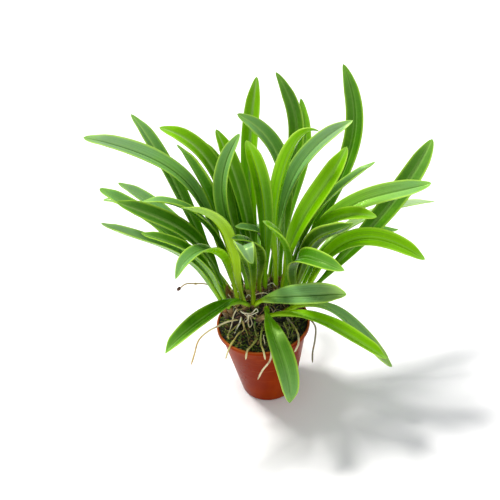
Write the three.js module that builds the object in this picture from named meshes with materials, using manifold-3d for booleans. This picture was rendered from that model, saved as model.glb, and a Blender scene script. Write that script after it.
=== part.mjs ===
// A potted Masdevallia herradurae: a tufted orchid with strap leaves, in a 5.5 cm plastic pot.
// Millimetres, +Z up. The origin is the middle of the pot's flat base, and -Y is the plant's front.
import * as THREE from 'three';
import { mergeVertices } from 'three/addons/utils/BufferGeometryUtils.js';
import Module from 'manifold-3d';

const wasm = await Module();
wasm.setup();

// Driving dimensions
const gap = 0.3;             // clearance between pieces that touch
const pot = {
  height: 50,
  rimRadius: 27.5,           // outside of the lip
  lipHeight: 2.6,
  neckRadius: 25.8,          // outside of the wall just under the lip
  baseRadius: 17,
  wall: 1,
  floor: 1.4,
  facets: 48,
};
const drain = { count: 6, radius: 2.5, ringRadius: 11 };
const medium = {
  edgeHeight: 47.2,          // where the moss meets the pot's wall
  summit: 57.4,              // the moss is heaped up to here under the plant
  slope: 13.5,               // its rise from wall to middle, were it not rounded off at the summit
  rounding: 1.6,
  relief: 0.55,
  sectors: 44,
  rings: 10,
};
const mat = {                // rhizomes, old sheaths and roots, grown into one mat
  middleY: 7,
  halfLength: 22,
  halfDepth: 16.2,
  rim: 1.2,                  // its thickness along the edge
  summit: 66.5,
  roundness: 3.5,            // 2 would make its profile an ellipse, and more makes it boxier
  relief: 0.5,
  sectors: 40,
  rings: 8,
};
const leaf = {
  footDepth: 4,              // how far a leaf's stalk stands in the mat
  sheathRadius: 1.45,
  stalkRadius: 1.1,
  ribThickness: 1.5,
  marginThickness: 0.6,
  tipThickness: 0.8,
  groove: 0.35,              // depth of the midrib's groove
  rising: 1.15,              // powers that shape the outline: slim towards the stalk,
  falling: 0.5,              // and blunt towards the tip
  bladeStart: 0.16,          // where the blade begins, as a share of the leaf's length
  opensBy: 0.35,             // share of the blade by which the folded stalk has opened flat
  stalkFold: 0.1,            // rise of the margins over the midrib, as a share of the half width,
  bladeFold: 0.34,           // at the stalk and just above it,
  flattening: 0.55,          // and how much of it the tip has lost
};
const root = { radius: 0.65, sides: 6, steps: 11, lift: 0.75 };
const stalk = { radius: 0.5, tipRadius: 0.9, sides: 6, steps: 10 };

// A leaf's midrib runs from its foot on the mat through the points listed, the last one its tip.
// width is the blade at its widest, and roll turns the blade round its midrib, in degrees.
const strap = (foot, through, width, roll) => ({ foot, through, width, roll });
const leaves = {
  leaf_01: strap([-12.5, 11], [[-24, 14, 114], [-40, 20, 143], [-82, 30, 162]], 10, -15),
  leaf_02: strap([-16.5, 8], [[-32, 18, 106], [-44, 31, 138], [-59, 46, 165]], 9.5, 0),
  leaf_03: strap([-5.5, 12.5], [[-12, 17, 109], [-20, 23, 143], [-42, 28, 164]], 10.5, -20),
  leaf_04: strap([-4, 19], [[-9, 26, 105], [-17, 34, 136], [-29, 40, 150]], 9, 0),
  leaf_05: strap([-9.5, 7.5], [[-14, 7, 105], [-19, 9, 135], [-32, 9, 161]], 9, 40),
  leaf_06: strap([-1, 13], [[-3, 16, 104], [-7, 22, 133], [-14, 28, 159]], 9.5, -10),
  leaf_07: strap([-6, 2], [[-11, 0, 109], [-14, 2, 138], [-4, 8, 162]], 9, -15),
  leaf_08: strap([2, 18], [[0, 30, 109], [3, 44, 143], [10, 58, 174]], 9.5, 0),
  leaf_09: strap([11.5, 15.5], [[18, 25, 107], [17, 30, 140], [-1, 32, 165]], 10, 0),
  leaf_10: strap([2.5, 8.5], [[6, 5, 106], [6, 6, 135], [1, 4, 162]], 9.5, 5),
  leaf_11: strap([9, 8], [[11, 10, 97], [14, 12, 122], [22, 12, 149], [36, 8, 163]], 10, -55),
  leaf_12: strap([5.5, 21], [[20, 34, 111], [30, 45, 145], [22, 56, 176]], 9, 0),
  leaf_13: strap([9.5, 20.5], [[23, 36, 103], [34, 50, 128], [35, 62, 157]], 8, 0),
  leaf_14: strap([8, 14], [[17, 18, 112], [31, 18, 143], [54, 16, 162]], 10, 30),
  leaf_15: strap([12, 3.5], [[22, 3, 105], [36, 2, 131], [50, 6, 152]], 11, 40),
  leaf_16: strap([15.5, 17], [[45, 32, 106], [63, 50, 138], [61, 68, 172]], 10.5, 10),
  leaf_17: strap([13.5, 8.5], [[30, 9, 105], [46, 8, 127], [65, 9, 141]], 8.5, -5),
  leaf_18: strap([16.8, 11.2], [[40, 12, 104], [67, 10, 120], [94, 6, 127]], 11, 35),
  leaf_19: strap([21, 8], [[55, 14, 85], [82, 24, 110], [104, 38, 135]], 12.5, 40),
  leaf_20: strap([18.2, 14.5], [[48, 31, 81], [80, 40, 91], [111, 46, 91]], 9, -5),
  leaf_21: strap([17.5, 6], [[29, 5, 96], [43, -2, 116], [61, -10, 125]], 9.5, 15),
  leaf_22: strap([17, 1], [[27, -5, 99], [36, -12, 114], [48, -20, 124]], 9.5, -45),
  leaf_23: strap([20.4, 11.4], [[40, 16, 82], [61, 23, 87], [85, 30, 84]], 8.5, 5),
  leaf_24: strap([21, 3.5], [[44, -1, 96], [67, -7, 103], [87, -16, 95]], 11, 30),
  leaf_25: strap([16.5, -3], [[20, -10, 92], [25, -23, 108], [40, -38, 110]], 10.5, 15),
  leaf_26: strap([-3.5, -6], [[10, -15, 78], [27, -24, 84], [42, -34, 91]], 12.5, 25),
  leaf_27: strap([-9, -6], [[-21, -17, 76], [-36, -30, 77], [-51, -44, 74]], 11, 0),
  leaf_28: strap([3, -1.5], [[4, -28, 66], [8, -46, 59], [9, -58, 44]], 12, -10),
  leaf_29: strap([-3, -8.5], [[20, -18, 66], [42, -31, 62], [62, -42, 52]], 10, 5),
  leaf_30: strap([10, -5.5], [[35, -14, 67], [53, -24, 53], [68, -33, 36]], 8.5, 12),
  leaf_31: strap([-9, -2.5], [[-13.2, -8.5, 102.2], [-18, -14, 128], [-33, -20, 143]], 9.5, 20),
  leaf_32: strap([-13.5, 4.5], [[-19, 5, 101.5], [-32, -2, 130], [-53, -6, 141]], 8, 5),
  leaf_33: strap([-20.5, 6], [[-29, 5, 100], [-47, 3, 123], [-67, -1, 139]], 11, -30),
  leaf_34: strap([-20, 11], [[-38, 14, 93], [-58, 19, 116], [-80, 24, 134]], 10, -5),
  leaf_35: strap([-15.2, 15.8], [[-34, 28, 88], [-53, 40, 107], [-75, 50, 123]], 9.5, 0),
  leaf_36: strap([-16.6, 12.7], [[-40, 22, 85], [-61, 33, 108], [-84, 42, 118]], 8, 0),
  leaf_37: strap([-20, 1.5], [[-35, -4, 98], [-55, -9, 119], [-74, -14, 135]], 9, 0),
  leaf_38: strap([-17, -1], [[-28, -6, 96], [-40, -12, 116], [-55, -17, 129]], 9, -10),
  leaf_39: strap([-13, -1.5], [[-18.2, -2.5, 97.5], [-29, -22, 118], [-40, -37, 115]], 9.5, 0),
  leaf_40: strap([-5, -2.5], [[-4.6, -8, 95.5], [-6.6, -22.6, 119], [-3, -36, 119]], 10.5, -15),
  leaf_41: strap([-1, 4.5], [[1, 1, 90], [-1, -8, 108], [-11, -19, 122]], 8.5, -20),
  leaf_42: strap([3, 13.5], [[4, 14, 92], [1.5, 11, 105], [-9, 4, 114]], 6.5, -20),
  leaf_43: strap([12.5, -1], [[16, -5, 93], [13, -11, 113], [5, -18, 129]], 8, -45),
  leaf_44: strap([-10, 17.5], [[-14, 24, 92], [-21, 31, 111], [-31, 37, 119]], 8.5, 15),
  leaf_45: strap([-9, 21.5], [[-15, 36, 84], [-20, 56, 92], [-28, 74, 74]], 10, 0),
  leaf_46: strap([0.5, 21.5], [[3, 37, 78], [6, 54, 80], [8, 70, 65]], 10, 0),
};

// Roots that come out of the mat, run over the moss and hang over the rim.
const roots = {
  root_1: { through: [[-14, -4, 56], [-18.5, -5, 56.6], [-22, -6.3, 56.8], [-26, -8.2, 56.4], [-32, -9, 54],
    [-38, -10, 49], [-42, -11, 39], [-45, -11, 31]] },
  root_2: { through: [[-12.4, -5.9, 55.6], [-17, -6.9], [-20, -8.6], [-21, -10.6], [-20.5, -12.8]] },
  root_3: { through: [[-11.5, -6.8, 57], [-11.5, -10.4], [-14.5, -11.2], [-17, -14], [-19.2, -18.6, 51.3],
    [-21.5, -20.5, 48], [-23.5, -20.5, 42]] },
  root_4: { through: [[-5.8, -7, 56], [-5.2, -12], [-5, -18], [-8, -21], [-10.5, -25, 51.3],
    [-12, -27.6, 47]] },
  root_5: { through: [[-0.8, -8, 54.6], [-1.2, -13], [-2.6, -18.5], [-2.5, -21.6], [-2, -25, 51.2],
    [-1.6, -27.6, 51.2], [-1.2, -29.3, 47]] },
  root_6: { through: [[3.8, -7, 55], [4, -14], [3.4, -21.5], [2.8, -26.6, 51.8], [1.5, -29.4, 46.5],
    [-3.5, -30.5, 40], [-6.5, -31, 34]] },
  root_7: { through: [[13.6, -6, 56], [17, -9.4], [18.4, -12.6], [18.8, -16.2, 51], [18.6, -20, 51.4],
    [18, -22.8, 49.5], [15.5, -24.8, 46]] },
  root_8: { through: [[19.2, -1.4, 57], [23.4, -4, 54.8], [28, -7, 51.5], [29.8, -8, 47.5], [29, -9, 38],
    [27.4, -9.6, 29.5], [27, -10, 21.5]] },
};

// The dry stalk of an old flower, with its withered end.
const drySpike = [[-21.8, 3.8, 55.8], [-24.8, 2.6, 70], [-29, 2, 79], [-36, 1.5, 81], [-41, 1.5, 81.5],
  [-45.5, 1.5, 78.5]];

// Stations along a leaf, as shares of its length: foot, sheath mouth, stalk, then the blade to its tip.
const stations = [0, 0.12, leaf.bladeStart, 0.27, 0.37, 0.48, 0.58, 0.68, 0.78, 0.87, 0.945, 1];

// Materials

function potPlastic() {
  return new THREE.MeshStandardMaterial({ color: 0x9c4524, roughness: 0.45, metalness: 0 });
}

function mossyMedium() {
  return new THREE.MeshStandardMaterial({ color: 0x26300f, roughness: 0.95, metalness: 0 });
}

function rhizomeFibre() {
  return new THREE.MeshStandardMaterial({ color: 0x5b4326, roughness: 0.9, metalness: 0 });
}

function leafGreen() {
  return new THREE.MeshStandardMaterial({ color: 0x3f7d1e, roughness: 0.45, metalness: 0 });
}

function rootCream() {
  return new THREE.MeshStandardMaterial({ color: 0xcfc48a, roughness: 0.8, metalness: 0 });
}

function dryStraw() {
  return new THREE.MeshStandardMaterial({ color: 0xa98f5c, roughness: 0.8, metalness: 0 });
}

// Solids

function solidFrom(geometry) {
  const bare = geometry.clone();
  bare.deleteAttribute('normal');
  bare.deleteAttribute('uv');
  const merged = mergeVertices(bare, 1e-4);
  return new wasm.Manifold(new wasm.Mesh({
    numProp: 3,
    vertProperties: new Float32Array(merged.attributes.position.array),
    triVerts: new Uint32Array(merged.index.array),
  }));
}

function geometryFrom(solid) {
  const mesh = solid.getMesh();
  const geometry = new THREE.BufferGeometry();
  geometry.setAttribute('position', new THREE.BufferAttribute(new Float32Array(mesh.vertProperties), 3));
  geometry.setIndex(new THREE.BufferAttribute(new Uint32Array(mesh.triVerts), 1));
  geometry.computeVertexNormals();
  return geometry;
}

// A profile of radius and height, turned round the Z axis.
function turned(profile, facets) {
  const points = profile.map(([radius, height]) => new THREE.Vector2(radius, height));
  return new THREE.LatheGeometry(points, facets).rotateX(Math.PI / 2);
}

// A closed skin over rings of points that all have the same count, with flat ends.
function skin(rings) {
  const count = rings[0].length;
  const positions = rings.flat().flatMap((p) => [p.x, p.y, p.z]);
  const index = [];
  for (let r = 0; r + 1 < rings.length; r++) {
    for (let i = 0; i < count; i++) {
      const a = r * count + i;
      const b = r * count + (i + 1) % count;
      index.push(a, b, a + count, b, b + count, a + count);
    }
  }
  const last = (rings.length - 1) * count;
  for (let i = 1; i + 1 < count; i++) {
    index.push(0, i + 1, i);
    index.push(last, last + i, last + i + 1);
  }
  const geometry = new THREE.BufferGeometry();
  geometry.setAttribute('position', new THREE.Float32BufferAttribute(positions, 3));
  geometry.setIndex(index);
  return geometry;
}

// A smooth run through a few points, by Neville's rule.
function along(points, t) {
  const row = points.map((p) => p.clone());
  const last = row.length - 1;
  for (let k = 1; k <= last; k++) {
    for (let i = 0; i + k <= last; i++) {
      const low = i / last;
      const high = (i + k) / last;
      row[i].multiplyScalar(high - t).addScaledVector(row[i + 1], t - low).divideScalar(high - low);
    }
  }
  return row[0];
}

// Points at even shares of the run's length, each with the direction there.
function measured(points, shares) {
  const fine = 80;
  const samples = [];
  let length = 0;
  for (let i = 0; i <= fine; i++) {
    const at = along(points, i / fine);
    if (i) length += at.distanceTo(samples[i - 1].at);
    samples.push({ at, length });
  }
  return shares.map((share) => {
    const target = share * length;
    let i = samples.findIndex((s) => s.length >= target);
    if (i < 1) i = 1;
    const a = samples[i - 1];
    const b = samples[i];
    const t = (i - 1 + (target - a.length) / (b.length - a.length)) / fine;
    const step = 0.002;
    const direction = along(points, t + step).sub(along(points, t - step)).normalize();
    return { at: along(points, t), direction, share };
  });
}

// Growing medium and mat

function ripple(x, y) {
  return 0.5 * Math.sin(0.83 * x + 1.3) * Math.cos(0.71 * y - 0.4) + 0.5 * Math.sin(0.57 * x - 0.93 * y);
}

function potInside(z) {
  const share = Math.min(1, z / (pot.height - pot.lipHeight));
  return pot.baseRadius + (pot.neckRadius - pot.baseRadius) * share - pot.wall;
}

function mediumTop(x, y) {
  const share = Math.min(1, Math.hypot(x, y) / (potInside(medium.edgeHeight) - gap));
  const heap = medium.slope * (1 - share);
  const most = medium.summit - medium.edgeHeight;
  const rounded = most * (1 - Math.exp(-heap / most * medium.rounding));
  const open = Math.min(1, Math.max(0, 6 * (matShare(x, y) - 1)));
  const relief = Math.min(open, 4 * (1 - share)) * medium.relief;
  return medium.edgeHeight + rounded + relief * ripple(1.7 * x, 1.7 * y);
}

function matShare(x, y) {
  return Math.hypot(x / mat.halfLength, (y - mat.middleY) / mat.halfDepth);
}

function matTop(x, y) {
  const share = Math.min(1, matShare(x, y));
  const edge = mediumTop(x, y) + 2 * gap + mat.rim;
  return THREE.MathUtils.lerp(edge, mat.summit, Math.sqrt(1 - share ** mat.roundness))
    + (1 - share ** 4) * mat.relief * ripple(x, y);
}

// A closed body between an upper and a lower surface, over an outline that grows from the middle.
function heap(outline, top, bottom, rings, sectors) {
  const positions = [];
  const index = [];
  const surface = (height, count) => {
    const first = positions.length / 3;
    const [mx, my] = outline(0, 0);
    positions.push(mx, my, height(mx, my));
    for (let r = 1; r <= count; r++) {
      for (let i = 0; i < sectors; i++) {
        const [x, y] = outline(r / count, (2 * Math.PI * i) / sectors);
        positions.push(x, y, height(x, y));
      }
    }
    return first;
  };
  const upper = surface(top, rings);
  const lower = surface(bottom, rings / 2);
  const fill = (first, count, flip) => {
    const add = (a, b, c) => (flip ? index.push(a, c, b) : index.push(a, b, c));
    for (let i = 0; i < sectors; i++) {
      const next = (i + 1) % sectors;
      add(first, first + 1 + i, first + 1 + next);
      for (let r = 1; r < count; r++) {
        const inner = first + 1 + (r - 1) * sectors;
        const outer = inner + sectors;
        add(inner + i, outer + i, outer + next);
        add(inner + i, outer + next, inner + next);
      }
    }
    return first + 1 + (count - 1) * sectors;
  };
  const above = fill(upper, rings, false);
  const below = fill(lower, rings / 2, true);
  for (let i = 0; i < sectors; i++) {
    const next = (i + 1) % sectors;
    index.push(below + i, below + next, above + next, below + i, above + next, above + i);
  }
  const geometry = new THREE.BufferGeometry();
  geometry.setAttribute('position', new THREE.Float32BufferAttribute(positions, 3));
  geometry.setIndex(index);
  return geometry;
}

function mediumSolid() {
  const top = potInside(medium.edgeHeight) - gap;
  const low = pot.floor + gap;
  const bottom = potInside(low) - gap - 0.6;
  const high = medium.edgeHeight;
  const body = turned([[0, low], [bottom, low], [top, high], [0, high]], medium.sectors);
  const crown = heap((share, angle) => [share * top * Math.cos(angle), share * top * Math.sin(angle)],
    (x, y) => Math.max(mediumTop(x, y), high), () => high - 1,
    medium.rings, medium.sectors);
  return solidFrom(body).add(solidFrom(crown));
}

// What is left of a body after cuts, without the crumbs they part from it.
function largest(solid) {
  return solid.decompose().sort((a, b) => b.volume() - a.volume())[0];
}

function matSolid() {
  const outline = (share, angle) => [
    share * mat.halfLength * Math.cos(angle),
    mat.middleY + share * mat.halfDepth * Math.sin(angle),
  ];
  return solidFrom(heap(outline, matTop, (x, y) => mediumTop(x, y) + 2 * gap, mat.rings, mat.sectors));
}

// Pot

function potSolid() {
  const lipBottom = pot.height - pot.lipHeight;
  const inside = pot.neckRadius - pot.wall;
  const shell = turned([
    [0, 0],
    [pot.baseRadius - 0.8, 0],
    [pot.baseRadius, 0.8],
    [pot.neckRadius, lipBottom],
    [pot.rimRadius - 0.4, lipBottom],
    [pot.rimRadius, lipBottom + 0.4],
    [pot.rimRadius, pot.height - 0.6],
    [pot.rimRadius - 0.6, pot.height],
    [inside + 0.6, pot.height],
    [inside, pot.height - 0.7],
    [inside, lipBottom],
    [potInside(pot.floor), pot.floor],
    [0, pot.floor],
  ], pot.facets);
  let solid = solidFrom(shell);
  for (let i = 0; i < drain.count; i++) {
    const angle = (2 * Math.PI * (i + 0.5)) / drain.count;
    const hole = wasm.Manifold.cylinder(pot.floor + 2, drain.radius, drain.radius, 14)
      .translate([drain.ringRadius * Math.cos(angle), drain.ringRadius * Math.sin(angle), -1]);
    solid = solid.subtract(hole);
  }
  return solid;
}

// Roots and the old flower stalk

// A root starts in the mat at its first point; a point given by x and y alone lies on the moss.
function rootPath({ through }) {
  const points = through.map(([x, y, z]) => new THREE.Vector3(x, y, z ?? mediumTop(x, y) + root.lift));
  return new THREE.CatmullRomCurve3(points, false, 'centripetal');
}

function drySpikeGeometry(grow = 0) {
  const points = drySpike.map((p) => new THREE.Vector3(...p));
  const path = new THREE.CatmullRomCurve3(points, false, 'centripetal');
  const stem = solidFrom(cordGeometry(path, stalk.radius + grow, stalk.sides, stalk.steps));
  const bud = new THREE.SphereGeometry(stalk.tipRadius + grow, 8, 6).scale(1.6, 1, 1);
  bud.translate(...drySpike[drySpike.length - 1]);
  return geometryFrom(stem.add(solidFrom(bud)));
}

function cordGeometry(path, radius, sides, steps) {
  const ring = Array.from({ length: sides }, (_, i) => new THREE.Vector2(
    radius * Math.cos((2 * Math.PI * i) / sides), radius * Math.sin((2 * Math.PI * i) / sides)));
  return new THREE.ExtrudeGeometry(new THREE.Shape(ring), { extrudePath: path, steps, bevelEnabled: false });
}

// Leaves

function leafPath({ foot, through }) {
  const [x, y] = foot;
  const start = new THREE.Vector3(x, y, matTop(x, y) - leaf.footDepth);
  return [start, ...through.map((p) => new THREE.Vector3(...p))];
}

// Half of a leaf's width at a share of its length: a stalk in its sheath, then an oblanceolate blade.
function halfWidth(share, width) {
  if (share < leaf.bladeStart) return leaf.sheathRadius;
  const u = (share - leaf.bladeStart) / (1 - leaf.bladeStart);
  const peak = leaf.rising / (leaf.rising + leaf.falling);
  const shape = (u / peak) ** leaf.rising * ((1 - u) / (1 - peak)) ** leaf.falling;
  return leaf.stalkRadius * Math.min(1, 8 * (1 - u)) + (width / 2 - leaf.stalkRadius) * shape;
}

// The blade's cross section, across and up, in order round it.
function leafSection(share, width, grow) {
  const half = halfWidth(share, width);
  const u = Math.max(0, (share - leaf.bladeStart) / (1 - leaf.bladeStart));
  const opening = Math.min(1, u / leaf.opensBy);
  const rib = THREE.MathUtils.lerp(2 * half * (1 - opening) + leaf.ribThickness * opening,
    leaf.tipThickness, u ** 3) / 2;
  const margin = THREE.MathUtils.lerp(half, leaf.marginThickness / 2, opening);
  const fold = THREE.MathUtils.lerp(leaf.stalkFold, leaf.bladeFold, Math.min(1, u / 0.15));
  const lift = half * fold * (1 - leaf.flattening * u);
  const groove = leaf.groove * opening;
  return [
    [-half - grow, lift + margin * 0.75 + grow],
    [0, rib - groove + grow],
    [half + grow, lift + margin * 0.75 + grow],
    [half + grow, lift - margin * 0.75 - grow],
    [0, -rib - grow],
    [-half - grow, lift - margin * 0.75 - grow],
  ];
}

function leafGeometry(one, grow = 0) {
  const path = leafPath(one);
  const tip = path[path.length - 1];
  const heading = new THREE.Vector3(tip.x - path[0].x, tip.y - path[0].y, 0).normalize();
  const across = new THREE.Vector3(heading.y, -heading.x, 0);
  const roll = THREE.MathUtils.degToRad(one.roll);
  const rings = measured(path, stations).map(({ at, direction, share }) => {
    across.addScaledVector(direction, -across.dot(direction)).normalize();
    const side = across.clone().applyAxisAngle(direction, roll);
    const up = new THREE.Vector3().crossVectors(side, direction);
    const end = share === 0 ? direction.clone().multiplyScalar(-grow) : new THREE.Vector3();
    return leafSection(share, one.width, grow).map(([a, b]) => at.clone().add(end)
      .addScaledVector(side, a).addScaledVector(up, b));
  });
  return skin(rings);
}

// Assembly

const plant = new THREE.Group();

function place(name, geometry, material) {
  const mesh = new THREE.Mesh(geometry, material);
  mesh.name = name;
  plant.add(mesh);
}

// Each leaf, root and stalk stands in a plain hole: the corners of a section move out by this much,
// so that its flat sides clear the hole by the gap.
const thick = gap / Math.cos(Math.PI / root.sides);
const cut = Object.values(leaves).map((one) => solidFrom(leafGeometry(one, thick)));
for (const one of Object.values(roots)) {
  cut.push(solidFrom(cordGeometry(rootPath(one), root.radius + thick, root.sides, root.steps)));
}
cut.push(solidFrom(drySpikeGeometry(thick)));
const bed = wasm.Manifold.union(cut);

place('pot', geometryFrom(potSolid()), potPlastic());
place('growing_medium', geometryFrom(largest(mediumSolid().subtract(bed))), mossyMedium());
place('rhizome_mat', geometryFrom(largest(matSolid().subtract(bed))), rhizomeFibre());
for (const [name, one] of Object.entries(leaves)) {
  place(name, leafGeometry(one), leafGreen());
}
place('dry_flower_stalk', drySpikeGeometry(), dryStraw());
for (const [name, one] of Object.entries(roots)) {
  place(name, cordGeometry(rootPath(one), root.radius, root.sides, root.steps), rootCream());
}

export default plant;
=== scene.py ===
import math
import random

import bpy
import numpy as np
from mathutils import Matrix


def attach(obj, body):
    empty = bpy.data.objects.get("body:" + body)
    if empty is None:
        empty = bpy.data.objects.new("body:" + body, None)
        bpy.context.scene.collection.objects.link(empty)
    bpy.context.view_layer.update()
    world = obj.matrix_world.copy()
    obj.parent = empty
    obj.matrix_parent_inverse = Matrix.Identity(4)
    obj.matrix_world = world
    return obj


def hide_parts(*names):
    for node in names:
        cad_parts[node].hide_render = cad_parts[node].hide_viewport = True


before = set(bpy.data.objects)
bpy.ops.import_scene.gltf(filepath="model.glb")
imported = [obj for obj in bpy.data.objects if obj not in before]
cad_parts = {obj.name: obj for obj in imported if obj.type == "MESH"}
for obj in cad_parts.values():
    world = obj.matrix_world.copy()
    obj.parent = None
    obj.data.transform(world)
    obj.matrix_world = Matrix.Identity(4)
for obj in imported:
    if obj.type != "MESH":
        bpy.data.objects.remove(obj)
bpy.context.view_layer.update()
mm = 0.001
chance = random.Random(41)


# Colours by name, as they look in daylight

tones = {
    "deep": "3b7800",
    "leaf": "569400",
    "fresh": "76b400",
    "lime": "a2cc00",
    # The bluish and whitish leaf greens below, all but celery, are painted sheen of the bright surroundings
    # on the waxy blades; the first of them is partly the blade's own green.
    "waxy": "629a36",
    "misty": "7fb466",
    "pale": "a6cc70",
    "celery": "8cc048",
    "frost": "8cb07e",
    "dew": "bcd6a6",
    "olive": "6c8404",
    "shade": "2f5800",
    "straw": "c2a768",
    "tan": "9b7440",
    "umber": "5a3418",
    "bark": "33200f",
    "plum": "4a2a22",
    "rose": "c08a78",
    "cream": "e4d9b0",
    "ivory": "efe9d0",
    "gold": "c9bd62",
    "rootGreen": "98a044",
    "ash": "7d7a5e",
    "sprout": "5f9a12",
    "peat": "0e0a05",
    "mossDark": "101404",
    "moss": "2b380a",
    "mossLight": "7a9420",
    "sprig": "8ad000",
    # bluish green of painted sheen on a waxy blade
    "mint": "86b870",
    # light lime of the leaf margins, partly their own colour and partly painted rim light
    "edge": "c4ec50",
    "papery": "a8642a",
    "potRed": "7e2200",
    "potOrange": "a03a00",
    # light orange: dust in the scuffs, and painted highlight on the lit top edge of the pot
    "potDustAndHighlight": "c87038",
    "potDark": "461400",
    "floorCool": "f6f5fa",
    "floorWarm": "fbfaf9",
}


def linear(name):
    code = tones[name]
    parts = [int(code[i:i + 2], 16) / 255 for i in (0, 2, 4)]
    return np.array([p / 12.92 if p <= 0.04045 else ((p + 0.055) / 1.055) ** 2.4 for p in parts])


def blendTones(names, places, at):
    # names at their places along a piece, read off at the shares in at
    colours = np.array([linear(n) for n in names.split()])
    return np.stack([np.interp(at, places, colours[:, k]) for k in range(3)], -1)


# Mesh building

class Bundle:
    # gathers rings of points into one mesh, with a surface map and a tint

    def __init__(self):
        self.points, self.faces, self.corners, self.tints = [], [], [], []
        self.count = 0

    def keep(self, points, colours, alpha=1.0):
        self.points.append(points)
        self.tints.append(np.hstack([colours, np.full((len(points), 1), alpha)]))
        self.count += len(points)

    def grid(self, rows, tint, loop=False, across=None, lengthwise=None, alpha=1.0):
        # rings one after another, capped at both ends, or with loop joined last to first
        n, m = rows.shape[:2]
        index = self.count + np.arange(n * m).reshape(n, m)
        u = np.linspace(0, 1, m + 1) if across is None else across
        v = np.linspace(0, 1, n) if lengthwise is None else lengthwise
        for i in range(n if loop else n - 1):
            k = (i + 1) % n
            for j in range(m):
                h = (j + 1) % m
                self.faces.append((index[i, j], index[i, h], index[k, h], index[k, j]))
                self.corners.append(((u[j], v[i]), (u[j + 1], v[i]), (u[j + 1], v[k]), (u[j], v[k])))
        if not loop:
            self.faces.append(tuple(index[0, ::-1]))
            self.corners.append(tuple((u[j], v[0]) for j in range(m - 1, -1, -1)))
            self.faces.append(tuple(index[-1]))
            self.corners.append(tuple((u[j], v[-1]) for j in range(m)))
        colours = np.broadcast_to(np.asarray(tint, float), rows.shape).reshape(-1, 3)
        self.keep(rows.reshape(-1, 3), colours, alpha)

    def spindle(self, base, ring, tip, tint):
        # two pointed ends and a ring of points between them
        m = len(ring)
        first = self.count
        for j in range(m):
            here = first + 1 + j
            there = first + 1 + (j + 1) % m
            left, right = (j / m, 0.5), ((j + 1) / m, 0.5)
            self.faces += [(first, there, here), (first + m + 1, here, there)]
            self.corners += [((0.5, 0), right, left), ((0.5, 1), left, right)]
        self.keep(np.vstack([base, ring, tip]), np.repeat([tint], m + 2, 0))

    def piece(self, name, material, slot, replaced=()):
        mesh = bpy.data.meshes.new(name)
        faces = [tuple(map(int, f)) for f in self.faces]
        mesh.from_pydata((np.concatenate(self.points) * mm).tolist(), [], faces)
        uv = mesh.uv_layers.new(name="surfaceMap")
        uv.data.foreach_set("uv", np.array([c for f in self.corners for c in f], np.float32).ravel())
        tint = mesh.color_attributes.new("tint", "FLOAT_COLOR", "POINT")
        tint.data.foreach_set("color", np.concatenate(self.tints).astype(np.float32).ravel())
        mesh.polygons.foreach_set("use_smooth", [True] * len(mesh.polygons))
        mesh.materials.append(material)
        mesh.update()
        thing = bpy.data.objects.new(name, mesh)
        bpy.context.scene.collection.objects.link(thing)
        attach(thing, "root")
        if replaced:
            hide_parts(*replaced)
        return thing


def unit(v):
    return v / np.maximum(np.linalg.norm(v, axis=-1, keepdims=True), 1e-9)


def anglesRound(count):
    return np.linspace(0, 2 * math.pi, count, endpoint=False)


def carried(points):
    # two vectors square to a run of points, carried along it without twist
    heading = unit(np.gradient(points, axis=0))
    side = np.array([1.0, 0.2, 0.1])
    sides = []
    for d in heading:
        side = side - d * side.dot(d)
        side = side / max(np.linalg.norm(side), 1e-9)
        sides.append(side)
    sides = np.array(sides)
    return sides, np.cross(heading, sides)


def tube(points, radii, around):
    # rings round a run of points, ready for Bundle.grid
    points = np.asarray(points, float)
    radii = np.broadcast_to(np.asarray(radii, float), (len(points),))
    side, up = carried(points)
    angle = anglesRound(around)[None, :, None]
    ring = side[:, None] * np.cos(angle) + up[:, None] * np.sin(angle)
    return points[:, None] + radii[:, None, None] * ring


def threaded(points, steps):
    # a smooth curve through the points, spaced by the root of their distance
    p = np.asarray(points, float)
    p = np.vstack([2 * p[0] - p[1], p, 2 * p[-1] - p[-2]])
    out = []
    for t in np.linspace(0, len(p) - 3, steps):
        i = min(int(t), len(p) - 4)
        w = t - i
        a, b, c, d = p[i:i + 4]
        d0, d1, d2 = [max(np.linalg.norm(q - r), 1e-4) ** 0.5 for q, r in ((b, a), (c, b), (d, c))]
        t1 = ((b - a) / d0 - (c - a) / (d0 + d1) + (c - b) / d1) * d1
        t2 = ((c - b) / d1 - (d - b) / (d1 + d2) + (d - c) / d2) * d1
        out.append(b + t1 * w + (3 * (c - b) - 2 * t1 - t2) * w ** 2 + (2 * (b - c) + t1 + t2) * w ** 3)
    return np.array(out)


def wobble(n, size):
    # a smooth random walk about zero
    walk = np.array([[chance.uniform(-1, 1) for _ in range(3)] for _ in range(n)])
    for _ in range(2):
        walk = np.vstack([walk[:1], (walk[:-2] + 2 * walk[1:-1] + walk[2:]) / 4, walk[-1:]])
    return walk * size


# Materials

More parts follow.
